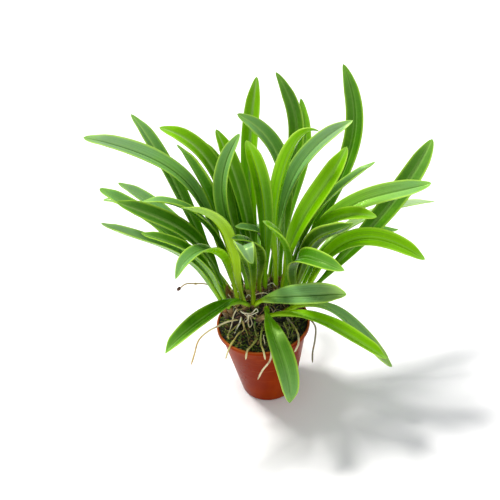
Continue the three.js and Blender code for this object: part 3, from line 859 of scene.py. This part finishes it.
def buildLeaf(name, one):
    f = leafForm
    luck = random.Random(name)
    shares = 1 - (1 - np.linspace(0, 1, f["steps"])) ** f["crowding"]
    at, side, up = leafFrames(one, shares)
    half = halfWidth(shares, one["width"], one["taper"])[:, None]
    u = np.clip((shares - f["bladeStart"]) / (1 - f["bladeStart"]), 0, 1)[:, None]
    s = np.array([*(-k for k in f["across"][:0:-1]), *f["across"]])[None]
    phase = 2 * math.pi * (luck.uniform(2, 3.4) * u + luck.random()) + 0.9 * s
    upper, lower = bladeSection(s, half, u, f["waver"] * np.sin(phase) * s ** 2 * u)
    closing = np.minimum(1, f["closing"] * (1 - shares))[:, None]
    upper, lower = upper * closing + f["tipHalf"], lower * closing - f["tipHalf"]
    reach = s * half
    x = np.hstack([reach, reach[:, ::-1]])
    z = np.hstack([upper, lower[:, ::-1]])
    rows = at[:, None] + side[:, None] * x[..., None] + up[:, None] * z[..., None]
    face = np.hstack([(s[0] + 1) / 2, 1 + (1 - s[0][::-1]) / 2, [2.0]])
    faces = [blendTones(leafTones[one[key]], f["tonePlaces"], shares)[:, None] for key in ("above", "below")]
    tint = np.concatenate([np.repeat(colours, s.shape[1], 1) for colours in faces], 1)
    young = f["young"] * np.clip(1 - shares / f["tonePlaces"][0], 0, 1)[:, None, None] ** 1.5
    tint = tint * (1 - young) + linear("lime") * young
    ripe = f["ripe"] * np.clip((shares - f["ripeFrom"]) / 0.06, 0, 1)[:, None, None]
    tint = tint * (1 - ripe) + linear("celery") * ripe
    blade = Bundle()
    blade.grid(rows, tint * luck.uniform(0.93, 1.07), across=face, lengthwise=shares, alpha=one["rib"])
    return blade.piece(name.replace("leaf", "blade"), bladeMaterial, "leaf_green", (name,))


for leafName, one in leaves.items():
    buildLeaf(leafName, one)
print("leaves made")


# Papery sheaths round the leaf stalks

sheath = {
    "wall": 0.12, "around": 18, "rows": 9, "tall": (6, 17), "leafLength": 130, "slit": 0.42,
    "slitWidth": 0.7, "ragged": 0.1, "flare": 0.28,
    "outer": {"from": 2.5, "radius": 1.56}, "inner": {"from": 2.0, "radius": 1.8},
    "outerTones": "straw papery umber tan plum papery olive", "innerTones": "umber plum tan bark",
}


def addSheath(bundle, one, place, high, tone, luck):
    tall = sheath["rows"]
    at, side, up = leafFrames(one, np.linspace(place["from"], high, tall) / sheath["leafLength"])
    angle = anglesRound(sheath["around"])
    ring = side[:, None] * np.cos(angle)[None, :, None] + up[:, None] * -np.sin(angle)[None, :, None]
    share = np.linspace(0, 1, tall)[:, None]
    slit = luck.uniform(0, 6.28)
    fromSlit = (angle - slit + math.pi) % (2 * math.pi) - math.pi
    ragged = 1 - sheath["slit"] * np.exp(-(fromSlit / sheath["slitWidth"]) ** 2)
    ragged = ragged - sheath["ragged"] * np.array([luck.random() for _ in angle])
    index = share * ragged[None] * (tall - 1)
    lowRow = np.minimum(index.astype(int), tall - 2)
    t = (index - lowRow)[..., None]
    centre = at[lowRow] * (1 - t) + at[lowRow + 1] * t
    flare = 1.02 + 0.1 * np.sin(3 * angle + slit)[None] * share + sheath["flare"] * share ** 4
    radius = place["radius"] * flare[..., None]
    rows = np.concatenate([centre + ring * radius, (centre + ring * (radius - sheath["wall"]))[::-1]])
    fade = 0.5 * np.concatenate([share, share[::-1]])[..., None]
    colour = linear(tone) * (1 - fade) + linear("straw") * fade
    bundle.grid(rows[:, ::-1], np.broadcast_to(colour, rows.shape), loop=True)


def buildSheaths():
    papers = Bundle()
    tonesInTurn = sheath["outerTones"].split()
    for i, (name, one) in enumerate(leaves.items()):
        luck = random.Random("paper" + name)
        tall = luck.uniform(*sheath["tall"])
        addSheath(papers, one, sheath["outer"], tall, tonesInTurn[i % len(tonesInTurn)], luck)
        addSheath(papers, one, sheath["inner"], tall * 0.6, luck.choice(sheath["innerTones"].split()), luck)
    return papers.piece("paperySheaths", sheathMaterial, "rhizome_and_sheaths")


buildSheaths()
print("sheaths made")


# Roots

root = {
    "radius": 0.52, "around": 12, "lift": 1.0, "steps": 60, "uneven": 0.07, "tip": (0.97, 0.88, 0.68, 0.34),
    "fineAround": 8, "fineSteps": 34, "fineLift": 0.6, "fineWobble": 0.25, "fineTip": (0.9, 0.7, 0.4),
}
roots = {
    "root_1": [(-14, -4, 56), (-18.5, -5, 56.6), (-22, -6.3, 56.8), (-26, -8.2, 56.4), (-32, -9, 54),
               (-38, -10, 49), (-42, -11, 39), (-45, -11, 31)],
    "root_2": [(-12.4, -5.9, 55.6), (-17, -6.9), (-20, -8.6), (-21, -10.6), (-20.5, -12.8)],
    "root_3": [(-11.5, -6.8, 57), (-11.5, -10.4), (-14.5, -11.2), (-17, -14), (-19.2, -18.6, 51.3),
               (-21.5, -20.5, 48), (-23.5, -20.5, 42)],
    "root_4": [(-5.8, -7, 56), (-5.2, -12), (-5, -18), (-8, -21), (-10.5, -25, 51.3), (-12, -27.6, 47)],
    "root_5": [(-0.8, -8, 54.6), (-1.2, -13), (-2.6, -18.5), (-2.5, -21.6), (-2, -25, 51.2),
               (-1.6, -27.6, 51.2), (-1.2, -29.3, 47)],
    "root_6": [(3.8, -7, 55), (4, -14), (3.4, -21.5), (2.8, -26.6, 51.8), (1.5, -29.4, 46.5),
               (-3.5, -30.5, 40), (-6.5, -31, 34)],
    "root_7": [(13.6, -6, 56), (17, -9.4), (18.4, -12.6), (18.8, -16.2, 51), (18.6, -20, 51.4),
               (18, -22.8, 49.5), (15.5, -24.8, 46)],
    "root_8": [(19.2, -1.4, 57), (23.4, -4, 54.8), (28, -7, 51.5), (29.8, -8, 47.5), (29, -9, 38),
               (27.4, -9.6, 29.5), (27, -10, 21.5)],
}
rootTones = {
    "root_1": "cream cream straw straw",
    "root_2": "rootGreen rootGreen gold gold",
    "root_3": "straw gold gold cream",
    "root_4": "ash rootGreen gold cream",
    "root_5": "mossLight rootGreen gold cream",
    "root_6": "mossLight ash cream cream",
    "root_7": "ash gold cream cream",
    "root_8": "tan ash ash ash",
}
fineRoots = [
    ("cream", 0.48, [(-14.2, -2.4, 62.8), (-16.4, -3.2, 59.6), (-18.8, -5, 52.4),
                     (-20.6, -8.4), (-21.9, -11.3)]),
    ("ivory", 0.5, [(-12.1, -6.2, 59.4), (-13.7, -6.8, 55.6), (-15.8, -8.4, 52.6), (-17.1, -10.4)]),
    ("rootGreen", 0.36, [(-12.1, -6.4, 59.2), (-11.8, -7.4, 55), (-10.4, -11.2),
                         (-9.5, -15.5), (-9.4, -18.6)]),
    ("ivory", 0.36, [(-8.1, -7.2, 61.6), (-8.8, -8.2, 59), (-10.4, -8, 57.4)]),
    ("cream", 0.34, [(-7.7, -7.4, 61.5), (-8.6, -9.2, 56.4), (-8.1, -10, 54.6), (-6.6, -9.4, 56.4),
                     (-6.8, -8.4, 60), (-6.4, -7.4, 62)]),
    ("ash", 0.3, [(0.5, -9.2, 60), (-1.4, -10, 57.8), (-2.8, -10.2, 55.8)]),
    ("sprout", 0.3, [(-4.7, -9.2, 58), (-4.9, -10, 56), (-5.1, -11, 54.2)]),
    ("cream", 0.36, [(-0.7, -16.4), (-0.5, -20.3), (-0.3, -22, 49.6), (0.5, -23.8, 48.8)]),
    ("ash", 0.3, [(13.5, -6.4, 56), (14.4, -8.6), (14.4, -11.5), (12.3, -15)]),
    ("ivory", 0.4, [(-12.5, -4.6, 62.6), (-9.3, -6.6, 62.2), (-5.9, -7.4, 62.9), (-3.1, -6.2, 64.6),
                    (-2.5, -7.4, 63.4), (-5.1, -7.8, 62.4), (-8.1, -7.6, 61.5)]),
    ("cream", 0.3, [(-10.5, -5.4, 62.4), (-9, -6.8, 60.4), (-6.6, -7.6, 60.9), (-4.6, -8.2, 59.2)]),
    ("rootGreen", 0.3, [(11.5, -9, 55.2), (12.6, -12.5), (13.2, -16), (12.4, -19)]),
    ("mossLight", 0.28, [(7.5, -9.5), (8.2, -13), (9.8, -15.5), (9.4, -18.5)]),
    ("rootGreen", 0.3, [(-15.5, -6.6), (-18.5, -7), (-21.5, -6.2), (-22.6, -3.6)]),
    ("gold", 0.28, [(-3.4, -14.8), (-4.4, -17.2), (-6.6, -18.8), (-7.4, -21)]),
    ("mossLight", 0.28, [(15.5, -8.4), (16.6, -11.5), (15.4, -14.5), (16.4, -17.4)]),
    ("ivory", 0.3, [(-13.6, 3, 69.5), (-12.4, 1.2, 72.5), (-10.6, 0.4, 67.5), (-9.6, -1, 64.5)]),
    ("ivory", 0.3, [(-8, 0.4, 68.5), (-6.6, -1.6, 71.5), (-4.4, -2, 68), (-3.6, -4, 64.5)]),
    ("cream", 0.3, [(-3, 1, 69), (0.5, 0, 70.6), (3.4, 0.8, 69.4), (5.6, -0.6, 67.4)]),
    ("ivory", 0.28, [(4.6, 5.6, 71.4), (7.2, 4.2, 73.6), (9.6, 4.6, 70.2), (10.6, 2.6, 68)]),
    ("straw", 0.26, [(-15.8, 1.4, 67), (-16.2, -1.4, 69), (-15, -3, 65), (-13.6, -3.8, 61)]),
    ("ivory", 0.24, [(-17.6, 5.6, 66), (-18.4, 2.8, 70), (-16.6, 0.8, 67), (-15.8, -1.6, 63)]),
    ("cream", 0.24, [(12.6, 4, 69), (14.6, 2.4, 71), (16.4, 0.6, 67), (16.8, -1.6, 62)]),
]


def laid(points, lift):
    # points without a height lie on the moss
    return [(*p, float(mossTop(*p)) + lift) if len(p) == 2 else p for p in points]


rootSpots = []


def buildRoot(name, through):
    run = threaded(laid(through, root["lift"]), root["steps"])
    rootSpots.extend(run[:, :2])
    luck = np.array([chance.uniform(-1, 1) for _ in run])
    radii = root["radius"] * (1 + root["uneven"] * luck)
    radii[-len(root["tip"]):] *= root["tip"]
    tint = blendTones(rootTones[name], (0, 0.4, 0.7, 1), np.linspace(0, 1, len(run)))[:, None]
    strand = Bundle()
    strand.grid(tube(run, radii, root["around"]), np.repeat(tint, root["around"], 1))
    return strand.piece(name.replace("root", "airRoot"), rootMaterial, "aerial_root", (name,))


def buildFineRoots():
    strands = Bundle()
    for tone, radius, through in fineRoots:
        run = threaded(laid(through, radius + root["fineLift"]), root["fineSteps"])
        run = run + wobble(len(run), root["fineWobble"])
        rootSpots.extend(run[:, :2])
        radii = radius * np.linspace(1, 0.6, len(run))
        radii[-len(root["fineTip"]):] *= root["fineTip"]
        strands.grid(tube(run, radii, root["fineAround"]), linear(tone))
    return strands.piece("fineRoots", rootMaterial, "aerial_root")


for rootName, through in roots.items():
    buildRoot(rootName, through)
buildFineRoots()
lyingRoots = np.array(rootSpots)
print("roots made")


# Old flower stalk with its withered end

spike = {
    "radius": 0.4, "around": 10, "steps": 70, "nodes": (18, 40), "swelling": (0.18, 0.3, 0.12),
    "tip": 0.95, "tipRows": 12, "tipAround": 12, "tones": "rootGreen straw straw umber",
    "through": [(-21.8, 3.8, 55.8), (-24.8, 2.6, 70), (-29, 2, 79), (-36, 1.5, 81), (-41, 1.5, 81.5),
                (-45.5, 1.5, 78.5)],
}


def buildSpike():
    run = threaded(spike["through"], spike["steps"])
    radii = np.full(len(run), spike["radius"])
    for node in spike["nodes"]:
        radii[node:node + 3] += spike["swelling"]
    tint = blendTones(spike["tones"], (0, 0.5, 0.9, 1), np.linspace(0, 1, len(run)))[:, None]
    dry = Bundle()
    dry.grid(tube(run, radii, spike["around"]), np.repeat(tint, spike["around"], 1))
    share = np.linspace(-1, 1, spike["tipRows"])
    bud = np.array(spike["through"][-1]) + share[:, None] * np.array([-1.1, 0, -1.0])
    swell = spike["tip"] * np.sqrt(np.maximum(0, 1 - share ** 2)) + 0.05
    dry.grid(tube(bud, swell, spike["tipAround"]) + np.array([0, 0, 0.1]), linear("umber"))
    return dry.piece("driedSpike", sheathMaterial, "dry_stalk", ("dry_flower_stalk",))


buildSpike()
print("old flower stalk made")


# Moss shoots, bark crumbs, fibres and old stubs

litter = {
    "shoots": 1300, "rimShoots": 330, "matShoots": 520, "crumbs": 230, "fibres": 420, "stubs": 16,
    "edge": 25.8, "fibreEdge": 24, "rootGap": 0.9, "stem": (0.14, 0.05), "leafletWidth": 0.2,
    "leafletThickness": 0.06, "shootTones": "moss peat mossDark moss mossLight olive rootGreen",
    "stubRadii": (1.2, 1.15, 1.05, 0.95, 0.9, 0.8, 0.35),
}


def anyTurn():
    return chance.uniform(0, 2 * math.pi)


def anyTone(names):
    return linear(chance.choice(names.split()))


def rootClear(x, y):
    return bool((np.hypot(*(np.array([x, y]) - lyingRoots).T) > litter["rootGap"]).all())


def footClear(x, y, far):
    return all(math.hypot(x - one["foot"][0], y - one["foot"][1]) > far for one in leaves.values())


def inside(run, most):
    return (np.hypot(run[:, 0], run[:, 1]) <= most).all()


def mossSpot(most):
    # a place on the moss that the mat leaves bare
    while True:
        radius = most * math.sqrt(chance.random())
        turn = anyTurn()
        x, y = radius * math.cos(turn), radius * math.sin(turn)
        if matShare(x, y) > 0.97:
            return x, y


def matSpot(most, least=0.0):
    turn, share = anyTurn(), max(least, math.sqrt(chance.random()) * most)
    x = mat["halfLength"] * share * math.cos(turn)
    return x, mat["middleY"] + mat["halfDepth"] * share * math.sin(turn)


def addShoot(bundle, x, y, z, long):
    # a short leaning stem with a few pointed leaflets
    turn = anyTurn()
    lean = np.array([math.cos(turn), math.sin(turn), chance.uniform(0.1, 0.55)])
    t = np.linspace(0, 1, 5)[:, None]
    run = np.array([x, y, z - 0.1]) + lean * long * t + np.array([0, 0, 0.5]) * t * (1 - t) * long
    if not inside(run, litter["edge"]):
        return
    tone = anyTone(litter["shootTones"])
    bundle.grid(tube(run, np.linspace(*litter["stem"], 5), 3), tone)
    for base in run[1:]:
        for way in (-1, 1):
            across = np.array([-lean[1], lean[0], 0.3]) * way
            tip = base + unit(across + lean * 0.9) * chance.uniform(0.5, 1.0)
            middle = base * 0.55 + tip * 0.45
            broad = unit(np.cross(tip - base, [0, 0, 1.0])) * litter["leafletWidth"]
            thick = np.array([0, 0, litter["leafletThickness"]])
            ring = [middle - broad, middle - thick, middle + broad, middle + thick]
            bundle.spindle(base, ring, tip, tone * chance.uniform(0.7, 2.0))


def addCrumb(bundle, x, y, z, size, tone):
    # an angular chip of bark
    turn = anyTurn()
    tilt = chance.uniform(-0.6, 0.6)
    lengthwise = np.array([math.cos(turn), math.sin(turn), tilt])
    rows = []
    for t in np.linspace(-1, 1, 5):
        radius = size * (0.25 + 0.75 * math.sqrt(max(0, 1 - t * t))) * chance.uniform(0.7, 1)
        centre = np.array([x, y, z]) + lengthwise * size * 1.3 * t
        ring = []
        for angle in anglesRound(7):
            r = radius * chance.uniform(0.75, 1.1)
            wide = math.cos(angle) * r
            ring.append(centre + [-math.sin(turn) * wide, math.cos(turn) * wide, math.sin(angle) * r * 0.6])
        rows.append(ring)
    bundle.grid(np.array(rows), tone)


def addFibre(bundle, x, y, z, long, tone, radius):
    # a dry hair that curls over the mat or the moss
    turn = anyTurn()
    bend = chance.uniform(-2.5, 2.5)
    arch = chance.uniform(0.1, 0.5)
    t = np.linspace(0, 1, 12)[:, None]
    rise = arch * np.sin(math.pi * t) * 0.8
    way = np.hstack([np.cos(turn + bend * t) * t, np.sin(turn + bend * t) * t, rise])
    run = np.array([x, y, z]) + long * way + wobble(len(t), long * 0.12)
    if inside(run, litter["fibreEdge"]):
        bundle.grid(tube(run, np.linspace(radius, radius * 0.4, len(t)), 5), tone)


def addStub(bundle, x, y, tall, tone):
    # what is left of an old stalk: a ragged dry tube, leaning a little
    z = float(matFace(x, y)) - 1.5
    lean = np.array([chance.uniform(-0.35, 0.35), chance.uniform(-0.35, 0.35), 1.0])
    run = np.array([x, y, z]) + lean * np.linspace(0, tall, len(litter["stubRadii"]))[:, None]
    rows = tube(run, np.array(litter["stubRadii"]) * chance.uniform(0.6, 0.9), 9)
    rows[4:] += np.array([[[0, 0, chance.uniform(-0.8, 0.8)] for _ in range(9)] for _ in range(3)])
    bundle.grid(rows, tone)


def buildMossShoots():
    bed, edge, onMat = Bundle(), Bundle(), Bundle()
    for _ in range(litter["shoots"]):
        x, y = mossSpot(24.8)
        if rootClear(x, y):
            addShoot(bed, x, y, float(mossTop(x, y)), chance.uniform(1.6, 3.6))
    for _ in range(litter["rimShoots"]):
        turn, radius = anyTurn(), chance.uniform(23.6, 25.5)
        x, y = radius * math.cos(turn), radius * math.sin(turn)
        addShoot(edge, x, y, float(mossTop(x, y)) + chance.uniform(0, 0.6), chance.uniform(1.0, 2.2))
    for _ in range(litter["matShoots"]):
        x, y = matSpot(1.0, 0.35)
        if y < 13 and rootClear(x, y):
            addShoot(onMat, x, y, float(matFace(x, y)), chance.uniform(1.4, 3.2))
    bed.piece("mossShoots", mossMaterial, "moss_and_bark")
    edge.piece("rimMoss", mossMaterial, "moss_and_bark")
    onMat.piece("matMoss", mossMaterial, "moss_and_bark")


def buildCrumbs():
    chips = Bundle()
    for _ in range(litter["crumbs"]):
        x, y = mossSpot(23.2)
        size = chance.uniform(0.4, 1.3)
        addCrumb(chips, x, y, float(mossTop(x, y)) + 0.2, size, anyTone("bark umber peat peat tan") * 0.7)
    for _ in range(litter["crumbs"]):
        x, y = matSpot(0.97)
        if footClear(x, y, 1.9):
            size = chance.uniform(0.35, 1.0)
            tone = anyTone("bark umber plum tan peat straw") * 0.9
            addCrumb(chips, x, y, float(matFace(x, y)) + 0.1, size, tone)
    return chips.piece("barkCrumbs", litterMaterial, "moss_and_bark")


def buildWisps():
    wisps = Bundle()
    for _ in range(litter["fibres"]):
        x, y = matSpot(0.99)
        long = chance.uniform(2.5, 7.5)
        tone = anyTone("cream straw rose umber ivory gold")
        addFibre(wisps, x, y, float(matFace(x, y)) + 0.1, long, tone, chance.uniform(0.07, 0.18))
    for _ in range(litter["fibres"] // 4):
        x, y = mossSpot(22)
        long = chance.uniform(2, 5.5)
        tone = anyTone("mossLight rootGreen gold ash")
        addFibre(wisps, x, y, float(mossTop(x, y)) + 0.3, long, tone, 0.12)
    return wisps.piece("rootHairs", rootMaterial, "rhizome_and_sheaths")


def buildStubs():
    stubs = Bundle()
    count = 0
    while count < litter["stubs"]:
        x, y = matSpot(0.9)
        if footClear(x, y, 2.4):
            addStub(stubs, x, y, chance.uniform(3, 7), anyTone("straw tan umber plum"))
            count += 1
    return stubs.piece("oldStubs", sheathMaterial, "rhizome_and_sheaths")


buildMossShoots()
buildCrumbs()
buildWisps()
buildStubs()
print("moss, bark, fibres and stubs made")


# Floor, light and camera

# the floor's width and the places of the lamps are in metres
stage = {"floor": 6.0, "below": 0.2, "sky": (0.95, 0.97, 1.0), "skyStrength": 0.58}
lamps = {
    "window": {"place": (-0.35, 0.3, 0.85), "spread": 12, "power": 3.9, "colour": (1.0, 0.985, 0.95)},
    "front": {"place": (0.3, -0.8, 0.5), "spread": 60, "power": 0.35, "colour": (1.0, 0.99, 0.97)},
}
view = {"place": (-3.27, -281.04, 294.30), "down": 34.52, "roll": 6.0, "lens": 45.29, "sensor": 36}


def buildStage():
    half = stage["floor"] / 2
    corners = [(-half, -half, 0), (half, -half, 0), (half, half, 0), (-half, half, 0)]
    mesh = bpy.data.meshes.new("floor")
    mesh.from_pydata(corners, [], [(0, 1, 2, 3)])
    mesh.materials.append(floorPaint())
    floor = bpy.data.objects.new("floor", mesh)
    floor.location.z = -stage["below"] * mm
    bpy.context.scene.collection.objects.link(floor)
    world = bpy.data.worlds.new("daylight")
    world.use_nodes = True
    sky = world.node_tree.nodes["Background"]
    sky.inputs["Color"].default_value = (*stage["sky"], 1)
    sky.inputs["Strength"].default_value = stage["skyStrength"]
    bpy.context.scene.world = world


def aimed(name, data, right, up, back, place):
    # a lamp or camera at its place, with its own right, up and back directions
    thing = bpy.data.objects.new(name, data)
    pose = np.eye(4)
    pose[:3] = np.stack([right, up, back, place], 1)
    bpy.context.scene.collection.objects.link(thing)
    thing.matrix_world = pose.T.tolist()
    return thing


def buildLamps():
    for name, lamp in lamps.items():
        light = bpy.data.lights.new(name, "SUN")
        light.angle = math.radians(lamp["spread"])
        light.energy = lamp["power"]
        light.color = lamp["colour"]
        back = unit(np.array(lamp["place"]) - np.array([0, 0.01, 0.08]))
        right = unit(np.cross([0, 0, 1.0], back))
        aimed(name, light, right, np.cross(back, right), back, lamp["place"])


def buildCamera():
    lens = bpy.data.cameras.new("viewpoint")
    lens.sensor_width = view["sensor"]
    lens.lens = view["lens"]
    lens.clip_start = 0.01
    down, roll = math.radians(view["down"]), math.radians(view["roll"])
    level = np.array([1.0, 0, 0])
    ahead = np.array([0, math.cos(down), -math.sin(down)])
    rise = np.cross(level, ahead)
    right = level * math.cos(roll) - rise * math.sin(roll)
    up = level * math.sin(roll) + rise * math.cos(roll)
    place = np.array(view["place"]) * mm
    bpy.context.scene.camera = aimed("viewpoint", lens, right, up, -ahead, place)


buildStage()
buildLamps()
buildCamera()
bpy.context.scene.view_settings.view_transform = "Standard"
print("stage, lamps and camera made")
